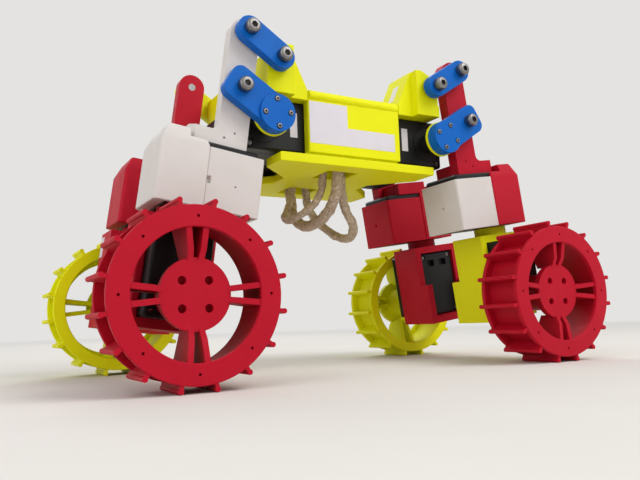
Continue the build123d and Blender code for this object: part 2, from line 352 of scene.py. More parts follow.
def new_material(name):
    """A new material, its tree, its main shader node and the piece's own coordinates."""
    material = bpy.data.materials.new(name)
    material.use_nodes = True
    shader = next(n for n in material.node_tree.nodes if n.type == "BSDF_PRINCIPLED")
    tree = Tree(material.node_tree)
    return material, tree, shader, tree.add("ShaderNodeTexCoord", out="Object")


def noise(tree, place, size, detail=2.0, rough=0.5):
    """Soft noise from 0 to 1 whose grains are about this large, in metres."""
    return tree.add("ShaderNodeTexNoise", {"noise_dimensions": "3D"},
                    Vector=place, Scale=1 / size, Detail=detail, Roughness=rough)


def tint(tree, factor, first, second):
    """A colour between two colours."""
    return tree.add("ShaderNodeMix", {"data_type": "RGBA", "clamp_factor": True},
                    {0: factor, 6: first, 7: second}, out=2)


def finish(tree, shader, colour, rough, height, distance, **others):
    """Feeds the shader its colour, its roughness, a bump of this height and any others."""
    normal = tree.add("ShaderNodeBump", Height=height, Distance=distance, Strength=1.0)
    tree.feed(shader, Normal=normal, Base_Color=colour, Roughness=rough, **others)


def printed(name, colour, shadow, gloss, axis):
    """Printed plastic whose layers are stacked along one axis: 0, 1 or 2."""
    material, tree, shader, place = new_material(name)
    axes = tree.split(place)
    facing = tree.split(tree.add("ShaderNodeTexCoord", out="Normal"))
    flat = abs(facing[axis]).over(FLAT_FROM)
    across, along = [axes[k] for k in range(3) if k != axis]
    layers = (axes[axis] * (2 * pi / LAYER)).sine()
    strokes = ((across + along) * (2 * pi / STROKE)).sine()
    grain = noise(tree, place, 0.5 * MM)
    wander = noise(tree, place, 22 * MM, detail=3.0)
    height = 0.5 * (layers * (1 - flat)) + 0.35 * (strokes * flat) + 0.5 * grain
    mixed = tint(tree, 0.55 * wander + 0.25 * grain - 0.1, colour, shadow)
    finish(tree, shader, mixed, gloss + 0.22 * wander, height, 0.03 * MM, Specular_IOR_Level=0.16)
    return material


AXES = {"side": 1, "up": 2}
# Each print's two colours, its gloss, and the axes along which its pieces are stacked.
PRINTS = {
    "red": (linear(192, 12, 40), linear(164, 6, 32), 0.42, AXES),
    "yellow": (linear(238, 239, 4), linear(224, 219, 2), 0.42, AXES),
    "blue": (linear(0, 101, 194), linear(0, 84, 168), 0.34, ["side"]),
    "white": (linear(222, 216, 212), linear(206, 198, 192), 0.42, AXES),
}
plastic = {(colour, axis): printed(f"{colour}_print_{axis}", *look, AXES[axis])
           for colour, (*look, axes) in PRINTS.items() for axis in axes}

# %% [markdown]
# ## Servo cases, steel and paper
# The servo cases are moulded, with a fine spark-eroded grain and almost no gloss. The bolts are bright
# plated steel with turned marks. The labels are tape with a paper face, a little off white.

# %% Other materials
def moulded_black():
    """Black moulded case with a fine grain."""
    material, tree, shader, place = new_material("servo_case_black")
    grain = noise(tree, place, 0.35 * MM, detail=3.0, rough=0.6)
    wander = noise(tree, place, 14 * MM, detail=3.0)
    colour = tint(tree, wander, linear(14, 14, 16), linear(26, 25, 27))
    finish(tree, shader, colour, 0.38 + 0.2 * wander, grain, 0.05 * MM, Specular_IOR_Level=0.3)
    return material


def plated_steel():
    """Plated steel with fine turned marks."""
    material, tree, shader, place = new_material("bolt_steel")
    marks = noise(tree, place, 0.25 * MM)
    stain = noise(tree, place, 3 * MM, detail=3.0)
    colour = tint(tree, stain, linear(150, 148, 147), linear(98, 95, 92))
    finish(tree, shader, colour, 0.26 + 0.2 * stain, marks, 0.01 * MM, Metallic=1.0)
    return material


def label_paper():
    """Label tape, blank, with a faint fibre and a soft sheen."""
    material, tree, shader, place = new_material("label_paper")
    fibre = noise(tree, place, 0.4 * MM, detail=4.0, rough=0.7)
    wander = noise(tree, place, 12 * MM)
    colour = tint(tree, 0.6 * wander + 0.3 * fibre, linear(226, 221, 228), linear(205, 199, 208))
    finish(tree, shader, colour, 0.4 + 0.2 * fibre, fibre, 0.02 * MM)
    return material


def paper_tape():
    """Crumpled paper tape, with painted shade in its creases and a tone that varies at random."""
    material, tree, shader, place = new_material("paper_tape")
    creases = (abs(noise(tree, place, 2.6 * MM) - 0.5) * 6).least(1.0)
    fibre = noise(tree, place, 0.5 * MM, detail=3.0)
    wander = noise(tree, place, 9 * MM, detail=3.0)
    # Painted shade: the mix below darkens the tape along its creases, and a slow noise shifts its tone at random.
    shaded = 0.6 * (1 - creases) + 0.8 * (wander - 0.45)
    colour = tint(tree, shaded, linear(218, 200, 178), linear(150, 127, 106))
    finish(tree, shader, colour, 0.7 + 0.15 * wander, creases + 0.15 * fibre, 0.4 * MM)
    return material


black = moulded_black()
steel = plated_steel()
paper = label_paper()
tape = paper_tape()


def wear(made, body, slot, material, *nodes):
    """Evens its flats, gives it a material and body, and hides the nodes it stands for. Its slot is not used."""
    flats = made.modifiers.new("flats", "WEIGHTED_NORMAL")
    flats.keep_sharp = True
    settle(made)
    made.data.materials.clear()
    made.data.materials.append(material)
    for face in made.data.polygons:
        face.material_index = 0
    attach(made, body)
    if nodes:
        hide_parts(*nodes)


# %% [markdown]
# ## Dressing a built piece
# The edges of the structure are knife sharp, and light never catches them. A copy of the piece has its
# triangles merged into whole faces, then its holes and seams cut, and last its edges rounded, because a
# bevel made before the cuts would leave the new edges sharp.

# %% Merged copies
WELD = 1e-3 * MM
SAME_PLANE = radians(0.7)


def merged(node, name):
    """A copy of a node's mesh with whole faces."""
    shape = bmesh.new()
    shape.from_mesh(frame["nodes"][node].data)
    bmesh.ops.remove_doubles(shape, verts=shape.verts, dist=WELD)
    bmesh.ops.dissolve_limit(shape, angle_limit=SAME_PLANE, verts=shape.verts, edges=shape.edges)
    return to_object(name, shape)


def dress(node, axis="side", edge=0.6 * MM, cutters=(), segments=2):
    """A node with its cuts made, its edges rounded and the plastic of its slot."""
    made = merged(node, node + "_print")
    if cutters:
        boolean(made, cutters)
    soften(made, edge, segments)
    wear(made, BODY_OF[node], SLOT_OF[node], plastic[SLOT_OF[node], axis], node)


# %% [markdown]
# ## Copies round an axis, with Geometry Nodes
# Screws sit in rings, and so do lugs and ribs. One small tree puts copies of a shape round the Y axis. It
# ends by realizing its instances, so the result is an ordinary mesh.

# %% The ring tree
def geometry_tree(name, sockets):
    """A Geometry Nodes group with these inputs and a material. Returns its tree and its inputs by name."""
    group = bpy.data.node_groups.new(name, "GeometryNodeTree")
    sockets = sockets | {"Material": "Material"}
    for label, kind in sockets.items():
        group.interface.new_socket(label, in_out="INPUT", socket_type="NodeSocket" + kind)
    group.interface.new_socket("Geometry", in_out="OUTPUT", socket_type="NodeSocketGeometry")
    tree = Tree(group)
    start = group.nodes.new("NodeGroupInput")
    return tree, {label: Number(tree, start.outputs[label]) for label in sockets}


def end_tree(tree, geometry, inputs):
    """Realizes the instances, sets the material and closes the tree."""
    real = tree.add("GeometryNodeRealizeInstances", Geometry=geometry)
    shaded = tree.add("GeometryNodeSetMaterial", Geometry=real, Material=inputs["Material"])
    tree.feed(tree.tree.nodes.new("NodeGroupOutput"), {0: shaded})
    return tree.tree


def mesh_input(tree, thing):
    """The geometry of an object that is an input."""
    return tree.add("GeometryNodeObjectInfo", Object=thing, out="Geometry")


def copies(tree, points, shape, rotation):
    """Instances of a shape on points."""
    return tree.add("GeometryNodeInstanceOnPoints", Points=points, Instance=shape, Rotation=rotation)


def grow(name, group, values):
    """Runs a tree with these inputs and returns a plain mesh object."""
    made = linked(name, bpy.data.meshes.new(name))
    step = made.modifiers.new("grow", "NODES")
    step.node_group = group
    for item in group.interface.items_tree:
        if item.in_out == "INPUT":
            step[item.identifier] = values[item.name]
    return settle(made)


def ring_tree():
    """Copies of a shape round the Y axis, each turned with its place."""
    tree, inputs = geometry_tree("copies_round_axis", {
        "Shape": "Object", "Count": "Int", "Radius": "Float", "Start": "Float"})
    points = tree.add("GeometryNodePoints", Count=inputs["Count"])
    index = tree.add("GeometryNodeInputIndex")
    angle = inputs["Start"] + index * (2 * pi) / inputs["Count"]
    ring = copies(tree, points, mesh_input(tree, inputs["Shape"]), tree.vector(Y=-angle))
    moved = tree.add("GeometryNodeTranslateInstances",
                     Instances=ring, Translation=tree.vector(X=inputs["Radius"]))
    return end_tree(tree, moved, inputs)


RING = ring_tree()


def ring_of(name, shape, count, radius, start, material=None):
    """Copies of a shape round the Y axis, as one mesh."""
    return grow(name, RING, {"Shape": shape, "Count": count, "Radius": radius, "Start": start,
                             "Material": material})


# %% [markdown]
# ## Screws and bolts
# Small socket screws hold horns and cases, and the arms turn on larger bolts. Each is a lathe shape with a
# hexagon cut into it. Its head points along minus Y, which is outwards on the right side of the rover.

# %% Socket screws
OUTWARD = Matrix.Rotation(radians(90), 4, "X")
TURNED_OVER = Matrix.Rotation(pi, 4, "X")
CORE = 0.02 * MM
QUARTER = [pi / 2 * step / 4 for step in range(5)]


def socket_screw(name, head_r, head_long, shank_r, shank_long, socket_r, socket_deep, edge):
    """A socket-head screw along Y whose head's underside is at the origin."""
    shoulder = [(head_r - edge + edge * sin(turn), head_long - edge + edge * cos(turn)) for turn in QUARTER]
    profile = [(CORE, head_long), *shoulder, (head_r, 0), (shank_r, 0), (shank_r, -shank_long),
               (CORE, -shank_long)]
    screw = lathe(name, profile, sides=40)
    boolean(screw, [prism("socket", circle(socket_r, sides=6), head_long - socket_deep, head_long + MM)])
    return placed(shade(screw), OUTWARD)


SMALL = {"head_r": 1.5 * MM, "shank_r": 0.8 * MM, "socket_r": 0.75 * MM}
horn_screw = socket_screw("horn_screw", head_long=1.6 * MM, shank_long=2.0 * MM, socket_deep=1.1 * MM,
                          edge=0.3 * MM, **SMALL)
case_screw = socket_screw("case_screw", head_long=1.0 * MM, shank_long=1.0 * MM, socket_deep=0.7 * MM,
                          edge=0.2 * MM, **SMALL)

# %% [markdown]
# The pivot bolts are the same kind of screw, larger. A second tree puts copies on the vertices of a small
# mesh of places, and turns each by a seeded random angle, because no two bolts stop at the same angle.

# %% The place tree and the pivot bolts
def place_tree():
    """Copies of a shape on the vertices of another, each turned about Y by chance."""
    tree, inputs = geometry_tree("copies_at_places", {"Shape": "Object", "Places": "Object", "Seed": "Int"})
    turn = tree.add("FunctionNodeRandomValue", {"data_type": "FLOAT"},
                    {2: 0.0, 3: 2 * pi, "Seed": inputs["Seed"]}, out=1)
    placed_copies = copies(tree, mesh_input(tree, inputs["Places"]), mesh_input(tree, inputs["Shape"]),
                           tree.vector(Y=turn))
    return end_tree(tree, placed_copies, inputs)


PLACES = place_tree()


def at_places(name, shape, points, seed, material):
    """Copies of a shape at these points, as one mesh."""
    mesh = bpy.data.meshes.new("places")
    mesh.from_pydata([tuple(point) for point in points], [], [])
    holder = linked("places", mesh)
    made = grow(name, PLACES, {"Shape": shape, "Places": holder, "Seed": seed, "Material": material})
    drop(holder)
    return made


def on_each_leg(made, name, body, slot, material, node=None):
    """Mirrors a front right piece to all four legs and removes the first."""
    for leg in LEGS:
        piece = placed(copy_of(made, f"{name}_{leg}"), mirror_of(leg))
        wear(piece, body.format(leg=leg), slot, material, *([f"{node}_{leg}"] if node else []))
    drop(made)


outer = upper + pin - lift
bolt_low, bolt_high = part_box("leg_pins_front_right")
BOLT_GAP = 0.3 * MM
bolt_y = link_face - BOLT_GAP
bolt_head = bolt_y - bolt_low.y
bolt_long = bolt_high.y - bolt_y
pivot_bolt = socket_screw("pivot_bolt", head_r=4.25 * MM, head_long=bolt_head, shank_r=2.5 * MM,
                          shank_long=bolt_long, socket_r=2.0 * MM, socket_deep=2.6 * MM, edge=1.6 * MM)
leg_bolts = at_places("leg_bolts", pivot_bolt, [(pin.x, bolt_y, pin.z), (outer.x, bolt_y, outer.z)],
                      seed=3, material=steel)
on_each_leg(leg_bolts, "leg_bolts", "leg_{leg}", "steel", steel, "leg_pins")
first_bolt = at_places("tower_bolt", pivot_bolt, [(upper.x, bolt_y, upper.z)], seed=5, material=steel)
tower_bolts = joined("tower_bolts", [placed(copy_of(first_bolt, "one"), mirror_of(leg)) for leg in LEGS])
drop(first_bolt, pivot_bolt)
wear(tower_bolts, "body", "steel", steel, "tower_pins")

# %% [markdown]
# ## The wheel, a shape that follows a rule
# Every part of the wheel repeats round one axis: two side rings on a drum, sixteen cross lugs with a bead
# on the tip, and four pairs of ribs that fall back to a sunken hub. As a rule it stays adjustable. Bands
# are rectangles swept round a circle, lugs and ribs are instances, and one exact boolean melts them into a
# single skin.

# %% The wheel tree
# Lengths of the wheel, in millimetres.
WHEEL = {
    "Rim radius": 42.0, "Opening radius": 31.5, "Ring thickness": 3.0, "Drum radius": 37.0, "Drum wall": 2.4,
    "Width": 31.0, "Lug tip radius": 46.0, "Lug thickness": 1.9, "Bead radius": 1.35, "Hub radius": 17.5,
    "Hub thickness": 4.0, "Hub recess": 5.0, "Barrel radius": 12.0, "Barrel end": 1.7, "Rib thickness": 2.8,
    "Rib spread": 8.5, "Rib gap": 5.5, "Rib depth": 12.0, "Rib back": 6.0, "Knee radius": 21.0,
    "Knee depth": 2.0, "Hub hole radius": 2.1, "Hub hole ring": 9.3, "Rim hole radius": 0.75,
    "Rim hole ring": 36.6,
}
COUNTS = {"Lugs": 16, "Rib pairs": 4, "Rim holes": 8}
BITE = 1.0 * MM
LUG_INSET = 0.5 * MM
RIB_INSET = 0.6 * MM
DRUM_LIP = 0.01 * MM
BAND_EDGE = 0.4 * MM
BAND_SIDES = 112


def shifted(tree, geometry, translation, **turn):
    """Moves a geometry inside a tree, after a turn if one is given."""
    move = tree.vector(**dict(zip("XYZ", translation)))
    return tree.add("GeometryNodeTransform", Geometry=geometry, Translation=move, **turn)


def band(tree, inner, outside, height, middle):
    """A ring of rectangular section about Z, with small round corners."""
    path = tree.add("GeometryNodeCurvePrimitiveCircle", Resolution=BAND_SIDES, Radius=(inner + outside) * 0.5)
    path = tree.add("GeometryNodeSetCurveNormal", {"mode": "Z_UP"}, Curve=path)
    section = tree.add("GeometryNodeCurvePrimitiveQuadrilateral", Width=outside - inner, Height=height)
    section = tree.add("GeometryNodeFilletCurve", Curve=section, Radius=BAND_EDGE)
    made = tree.add("GeometryNodeCurveToMesh", Curve=path, Profile_Curve=section)
    return shifted(tree, made, (0.0, 0.0, middle))


def rod(tree, radius, low, high, sides, x=0.0):
    """A round bar along Z, this far along X."""
    made = tree.add("GeometryNodeMeshCylinder", Vertices=sides, Radius=radius, Depth=high - low)
    return shifted(tree, made, (x, 0.0, (low + high) * 0.5))


def around(tree, geometry, count, start=0.0):
    """Copies of a geometry round Z."""
    points = tree.add("GeometryNodePoints", Count=count)
    turn = tree.add("GeometryNodeInputIndex") * (2 * pi) / count + start
    return copies(tree, points, geometry, tree.vector(Z=turn))


def exact(tree, operation, **meshes):
    """An exact boolean of meshes."""
    return tree.add("GeometryNodeMeshBoolean", {"operation": operation, "solver": "EXACT"}, **meshes)


def wheel_tree():
    """The whole wheel about Z, its outer face towards plus Z."""
    sockets = {label: "Int" for label in COUNTS} | {label: "Float" for label in WHEEL}
    tree, size = geometry_tree("lugged_wheel", sockets)
    drum_r, hub_r, half = size["Drum radius"], size["Hub radius"], size["Width"] * 0.5
    ring_at = half - size["Ring thickness"] * 0.5
    drum_inner = drum_r - size["Drum wall"]
    front_ring = band(tree, size["Opening radius"], size["Rim radius"], size["Ring thickness"], ring_at)
    back_ring = band(tree, drum_inner, size["Rim radius"], size["Ring thickness"], -ring_at)
    drum = band(tree, drum_inner - DRUM_LIP, drum_r, size["Width"] - 2 * BITE, 0.0)

    lug_root = drum_r - BITE
    lug_end = size["Lug tip radius"] - size["Bead radius"]
    lug_wide = size["Width"] - 2 * LUG_INSET
    lug_size = tree.vector(X=lug_end - lug_root, Y=size["Lug thickness"], Z=lug_wide)
    plate = tree.add("GeometryNodeMeshCube", Size=lug_size)
    plate = shifted(tree, plate, ((lug_end + lug_root) * 0.5, 0.0, 0.0))
    bead = rod(tree, size["Bead radius"], -0.5 * lug_wide, 0.5 * lug_wide, sides=16, x=lug_end)
    lugs = around(tree, exact(tree, "UNION", Mesh_2=[plate, bead]), size["Lugs"], pi / size["Lugs"])

    hub_face = half - size["Hub recess"]
    hub_disc = rod(tree, hub_r, hub_face - size["Hub thickness"], hub_face, sides=96)
    barrel = rod(tree, size["Barrel radius"], -half - size["Barrel end"], hub_face - BITE, sides=64)

    rib_root = hub_r - 2 * BITE
    rib_end = drum_r - BITE
    rib_size = tree.vector(X=1.0, Y=size["Rib thickness"], Z=1.0)
    rib = tree.add("GeometryNodeMeshCube", Size=rib_size, Vertices_X=3)
    along, across, up = tree.split(tree.add("GeometryNodeInputPosition"))
    to_knee = (2 * (along + 0.5)).least(1.0)
    to_end = (2 * along).most(0.0)
    knee_z = half - size["Knee depth"]
    knee_r = size["Knee radius"]
    reach_x = rib_root + to_knee * (knee_r - rib_root) + to_end * (rib_end - knee_r)
    front = hub_face + to_knee * (knee_z - hub_face) + to_end * (half - RIB_INSET - knee_z)
    share = (reach_x - rib_root) / (rib_end - rib_root)
    back = (hub_face - size["Rib depth"]) * (1 - share) + (size["Rib back"] - half) * share
    moved = tree.vector(X=reach_x, Y=across, Z=back + (up + 0.5) * (front - back))
    rib = tree.add("GeometryNodeSetPosition", Geometry=rib, Position=moved)
    rib = shifted(tree, rib, (-hub_r, 0.0, 0.0))
    reach = size["Opening radius"] - hub_r
    widening = (size["Rib spread"] - size["Rib gap"]) * 0.5
    splay = (widening / reach).arctangent()
    sides = [shifted(tree, rib, (hub_r, side * 0.5 * size["Rib gap"], 0.0),
                     Rotation=tree.vector(Z=side * splay)) for side in (-1, 1)]
    pair = tree.add("GeometryNodeJoinGeometry", Geometry=sides)
    ribs = around(tree, pair, size["Rib pairs"])

    whole = exact(tree, "UNION", Mesh_2=[front_ring, back_ring, drum, lugs, hub_disc, barrel, ribs])
    hub_hole = rod(tree, size["Hub hole radius"], hub_face - 5 * BITE, hub_face + BITE, sides=28,
                   x=size["Hub hole ring"])
    rim_hole = rod(tree, size["Rim hole radius"], half - 2 * BITE, half + BITE, sides=16,
                   x=size["Rim hole ring"])
    holes = [around(tree, hub_hole, size["Rib pairs"], pi / size["Rib pairs"]),
             around(tree, rim_hole, size["Rim holes"])]
    return end_tree(tree, exact(tree, "DIFFERENCE", Mesh_1=whole, Mesh_2=holes), size)


values = COUNTS | {label: size * MM for label, size in WHEEL.items()} | {"Material": plastic["red", "side"]}
wheel = grow("wheel", wheel_tree(), values)
print("wheel:", len(wheel.data.vertices), "vertices, reach", [round(c / MM, 1) for c in wheel.dimensions])
shade(wheel)
wheel_middle_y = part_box("wheel_front_right")[0].y + WHEEL["Width"] / 2 * MM
placed(wheel, Matrix.Translation((hub.x, wheel_middle_y, hub.z)) @ OUTWARD)
for leg in LEGS:
    node = "wheel_" + leg
    piece = placed(copy_of(wheel, "wheel_print_" + leg), mirror_of(leg))
    wear(piece, node, SLOT_OF[node], plastic[SLOT_OF[node], "side"], node)
drop(wheel)

# %% [markdown]
# ## Servos
# Each servo is a moulded case in three layers, held by screws from both ends. Dark grooves show where the
# layers meet, the screws sit in the corners, and a ring surrounds the output. On the back are the two
# sockets for its cable. The details are drawn in the servo's own frame, with the output on Z, and a
# matrix takes them to each of the three places where a leg has a servo.

# %% Servo details
SERVO = {"long": 50.0 * MM, "wide": 32.0 * MM, "deep": 38.0 * MM, "inset": 11.5 * MM}
SEAMS = (9.0 * MM, 28.5 * MM)
SEAM = 0.5 * MM
OUTPUT_RING = (11.6 * MM, 12.4 * MM)
SCREW_IN = 3.4 * MM
SCREW_SUNK = 1.25 * MM
POCKET_R = 1.9 * MM
POCKET_DEEP = 1.3 * MM
SOCKET_IN = 6.0 * MM
SOCKET_TALL = 5.0 * MM
SOCKET_WIDE = 7.0 * MM
SOCKET_DEEP = 3.0 * MM
HORN_GAP = 5.5 * MM
case_x = (SERVO["inset"] - SERVO["long"], SERVO["inset"])
case_y = (-SERVO["wide"] / 2, SERVO["wide"] / 2)
CASE_CORNERS = [(x, y) for x in (case_x[0] + SCREW_IN, case_x[1] - SCREW_IN)
                for y in (case_y[0] + SCREW_IN, case_y[1] - SCREW_IN)]


def case_outline(margin):
    """The corners of the case, seen along the output, moved outwards by a margin."""
    return rectangle(*((low - margin, high + margin) for low, high in (case_x, case_y)))


def servo_cutters(place):
    """Seams, output ring, screw pockets and cable sockets, in a servo's place."""
    cutters = [hollow("seam", case_outline(2 * SEAM), case_outline(-SEAM), -depth - SEAM, -depth)
               for depth in SEAMS]
    inner, outside = (circle(radius, sides=64) for radius in OUTPUT_RING)
    cutters.append(hollow("output_ring", outside, inner, -SEAM, SEAM))
    for corner in CASE_CORNERS:
        for face in (0.0, -SERVO["deep"]):
            pocket = prism("pocket", circle(POCKET_R, sides=24), face - POCKET_DEEP, face + POCKET_DEEP)
            cutters.append(placed(pocket, Matrix.Translation((*corner, 0))))
    socket_x = (case_x[0] + SOCKET_IN, case_x[0] + SOCKET_IN + SOCKET_TALL)
    for middle in (-SOCKET_IN, SOCKET_IN):
        socket_y = (middle - SOCKET_WIDE / 2, middle + SOCKET_WIDE / 2)
        cutters.append(block("cable_socket", socket_x, socket_y,
                             (-SERVO["deep"] - MM, -SERVO["deep"] + SOCKET_DEEP)))
    return [placed(cutter, place) for cutter in cutters]


def servo_screws(name, place):
    """The eight case screws of one servo."""
    front_screw = placed(copy_of(case_screw, "front_screw"), OUTWARD.inverted())
    back_screw = placed(copy_of(front_screw, "back_screw"), TURNED_OVER)
    ends = ((front_screw, -SCREW_SUNK, 7), (back_screw, SCREW_SUNK - SERVO["deep"], 9))
    sets = [at_places("screws", screw, [(*corner, height) for corner in CASE_CORNERS], seed, steel)
            for screw, height, seed in ends]
    drop(front_screw, back_screw)
    return placed(joined(name, sets), place)


leg_turn = leg_place.to_3x3().to_4x4()
SERVO_PLACES = {
    "lift_servo": at_lift(servo_face) @ OUTWARD,
    "sweep_servo": Matrix.Translation(sweep + HORN_GAP * leg_up) @ leg_turn @ TURNED_OVER,
    "drive_servo": Matrix.Translation(hub) @ leg_turn @ OUTWARD @ Matrix.Rotation(-pi / 2, 4, "Z"),
}
SERVO_BODY = {"lift_servo": "body", "sweep_servo": "leg_{leg}", "drive_servo": "knuckle_{leg}"}
for kind, place in SERVO_PLACES.items():
    case = merged(kind + "_front_right", kind + "_case")
    boolean(case, servo_cutters(place))
    soften(case, 0.5 * MM)
    on_each_leg(case, kind + "_case", SERVO_BODY[kind], "servo_black", black, kind)
    on_each_leg(servo_screws(kind + "_screws", place), kind + "_screws", SERVO_BODY[kind], "steel", steel)
drop(case_screw)
print("servos dressed:", len(SERVO_PLACES) * len(LEGS))

# %% [markdown]
# ## Blue cranks, printed links and their horn screws
# The crank is the rover's signature: a bar with a raised round end that covers the servo's horn. Four
# screws sit in counterbores round its axis, and the disc behind it is a separate yellow spacer. The ring
# tree places the screws, at one angle on the front legs and at another on the rear ones, because the horns
# stopped at different angles. A black collar joins the spacer to the servo, as the real horn does.

# %% Cranks, links and horn screws
HORN_RING = 8.0 * MM
HORN_SCREWS = 4
COUNTERBORE_R = 1.75 * MM
COUNTERBORE_DEEP = 1.1 * MM
SCREW_SEAT = 1.0 * MM
SCREW_STARTS = {1: -0.28, -1: -0.06}
SPACER = 1.8 * MM
SPACER_R = 11.6 * MM
SPACER_EDGE = 0.2 * MM
COLLAR_R = 6.8 * MM
AXLE_R = 6.0 * MM
crank_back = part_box("link_front_right")[1].y
spacer_back = crank_back + SPACER
collar_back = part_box("crank_front_right")[1].y


def washer(name, leg, outer_profile, back):
    """A turned ring behind a leg's crank, from its outer radii and heights."""
    heights = (outer_profile[-1][1], outer_profile[0][1])
    made = lathe(f"{name}_{leg}", [*outer_profile, *((AXLE_R, height) for height in heights)])
    return shade(placed(made, mirror_of(leg) @ at_lift(back) @ OUTWARD))


for leg in LEGS:
    start = SCREW_STARTS[LEGS[leg][0]]
    bore = placed(prism("bore", circle(COUNTERBORE_R, sides=28), -COUNTERBORE_DEEP, MM), OUTWARD)
    bores = placed(ring_of("bores", bore, HORN_SCREWS, HORN_RING, start), at_lift(crank_face))
    drop(bore)
    dress("crank_" + leg, cutters=[placed(bores, mirror_of(leg))])
    screws = ring_of("horn_screws_" + leg, horn_screw, HORN_SCREWS, HORN_RING, start, steel)
    placed(screws, mirror_of(leg) @ at_lift(crank_face + SCREW_SEAT))
    wear(screws, "crank_" + leg, "steel", steel)
    spacer = washer("spacer", leg, [(SPACER_R - SPACER_EDGE, 0), (SPACER_R, SPACER_EDGE), (SPACER_R, SPACER)],
                    spacer_back)
    wear(spacer, "crank_" + leg, "yellow", plastic["yellow", "side"])
    collar = washer("horn_collar", leg, [(COLLAR_R, 0), (COLLAR_R, collar_back - spacer_back)], collar_back)
    wear(collar, "crank_" + leg, "servo_black", black)
    dress("link_" + leg)
drop(horn_screw)

# %% [markdown]
# ## Legs: uprights, boxes, covers and knuckles
# The leg's edges get the small radius that a printed edge has, and the end cover gets a larger one, because
# its corners are soft. The uprights and boxes have a few small holes, and the rear boxes a slot for a cable
# tie, all cut in the leg's own frame.

# %% Dressed legs
def leg_block(x, y, z):
    """A box in the leg's own frame."""
    return placed(block("slot", *([v * MM for v in limits] for limits in (x, y, z))), leg_place)


def drill(radius, limits, middle, turn):
    """A round hole between two limits, whose axis is Z before it is turned into the leg's own frame."""
    made = prism("drill", circle(radius * MM, sides=24), *(v * MM for v in limits))
    return placed(made, leg_place @ Matrix.Translation([v * MM for v in middle]) @ turn)


def drilled_y(x, z, radius, y):
    """A round hole across the leg."""
    return drill(radius, y, (x, 0, z), Matrix.Rotation(-pi / 2, 4, "X"))


def drilled_x(y, z, radius, x):
    """A round hole along the leg."""
    return drill(radius, x, (0, y, z), Matrix.Rotation(pi / 2, 4, "Y"))


# Per piece, by the start of its node's name: the cutter, then what the cutter takes, in millimetres.
LEG_HOLES = {
    "upright": [(drilled_y, 5.0, -29.6, 0.6, (-53, -48)), (drilled_y, -0.9, -25.7, 0.6, (-53, -48))],
    "servo_box": [(drilled_x, -41.0, -56.0, 1.0, (-20, -17))],
    "servo_box_rear": [(leg_block, (11.6, 14.5), (-60, -56), (-59.0, -55.0)),
                       (drilled_y, -3.0, -58.0, 0.5, (-60, -56))],
}


def holes_for(node, leg):
    """The cutters of one leg's piece, mirrored into place."""
    rows = [row for start in LEG_HOLES if node.startswith(start) for row in LEG_HOLES[start]]
    return [placed(cut(*sizes), mirror_of(leg)) for cut, *sizes in rows]


for leg in LEGS:
    dress("upright_" + leg, cutters=holes_for("upright_" + leg, leg))
    dress("servo_box_" + leg, "up", edge=0.5 * MM, cutters=holes_for("servo_box_" + leg, leg))
    dress("end_cover_" + leg, "up", edge=1.2 * MM, segments=3)
    dress("knuckle_" + leg, edge=0.7 * MM)

# %% [markdown]
# ## Body: deck, housing and towers
# The housing's edges are rounder than those of the deck and the towers. Its face plates end level with the
# servos, and the gap that this leaves above the deck is cut after the large rounding. Each tower's boss
# stands out a little from its sloped part, which is level with the housing's face.

# %% Dressed body
dress("deck_plate", "up", edge=0.8 * MM)
body_low, body_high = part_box("body_box")
housing_face = body_low.y
FOOT_DEEP = 4.0 * MM
foot = block("foot", (body_low.x - MM, body_high.x + MM), (housing_face - MM, housing_face + FOOT_DEEP),
             (body_low.z - MM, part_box("lift_servo_front_right")[0].z))
housing = soften(merged("body_box", "body_box_print"), 1.2 * MM, segments=3)
boolean(housing, [placed(copy_of(foot, "gap"), mirror_of(leg)) for leg in ("front_right", "front_left")])
drop(foot)
soften(housing, 0.4 * MM)
wear(housing, "body", "yellow", plastic["yellow", "side"], "body_box")
tower_low, tower_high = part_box("tower_front_right")
BOSS_SIDE = 11.4 * MM
for leg in LEGS:
    step = block("step", (tower_low.x - MM, upper.x - BOSS_SIDE), (tower_low.y - MM, housing_face),
                 (tower_low.z - MM, tower_high.z + MM))
    dress("tower_" + leg, edge=0.7 * MM, cutters=[placed(step, mirror_of(leg))])

# %% [markdown]
# ## Cable bundles
# Three bundles of wires hang in loops below the deck, each from one cable slot to the other, and are
# wrapped in paper tape that creases as they bend. The line of a bundle is one smooth curve through a few
# control points. A tree sweeps a circle along it and pushes the skin in and out by noise for the creases.

# %% Lines of the bundles
DECK_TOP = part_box("deck_plate")[1].z
# Each bundle: radius, then control points as X, Y and drop below the deck's top, in millimetres.
BUNDLES = {
    "cable_thick": (3.5, [(-5, -30, 0), (-5, -30, 12.8), (-6, -24, 24.3), (-8, -13, 32.3), (-11, 0, 35.8),
                          (-12, 13, 32.3), (-11, 24, 23.8), (-10, 29, 12.3), (-10, 29, 0)]),
    "cable_long": (2.8, [(2, -22, 0), (2, -22, 13.3), (7, -17.5, 26.5), (17, -12.5, 34), (22, -2.5, 40.5),
                         (24, 7, 42), (22.5, 18.5, 39.5), (18, 27.5, 32.5), (10.5, 31, 24.5), (2, 28, 13),
                         (2, 28, 0)]),
    "cable_thin": (2.4, [(-11, -21, 0), (-11, -21, 11.3), (-15, -18, 22.3), (-22, -11, 29.3), (-26, 1, 32.3),
                         (-24, 13, 28.3), (-17, 19, 20.3), (-12.5, 20.5, 10.3), (-12.5, 20.5, 0)]),
}


def smooth_line(name, points):
    """A mesh line along one smooth curve with these control points, and its points."""
    data = bpy.data.curves.new(name, "CURVE")
    data.dimensions = "3D"
    spline = data.splines.new("NURBS")
    spline.points.add(len(points) - 1)
    for control, point in zip(spline.points, points):
        control.co = (*point, 1.0)
    spline.order_u = 3
    spline.use_endpoint_u = True
    curve = linked(name, data)
    mesh = evaluated(curve)
    drop(curve)
    return linked(name + "_line", mesh), [vertex.co.copy() for vertex in mesh.vertices]


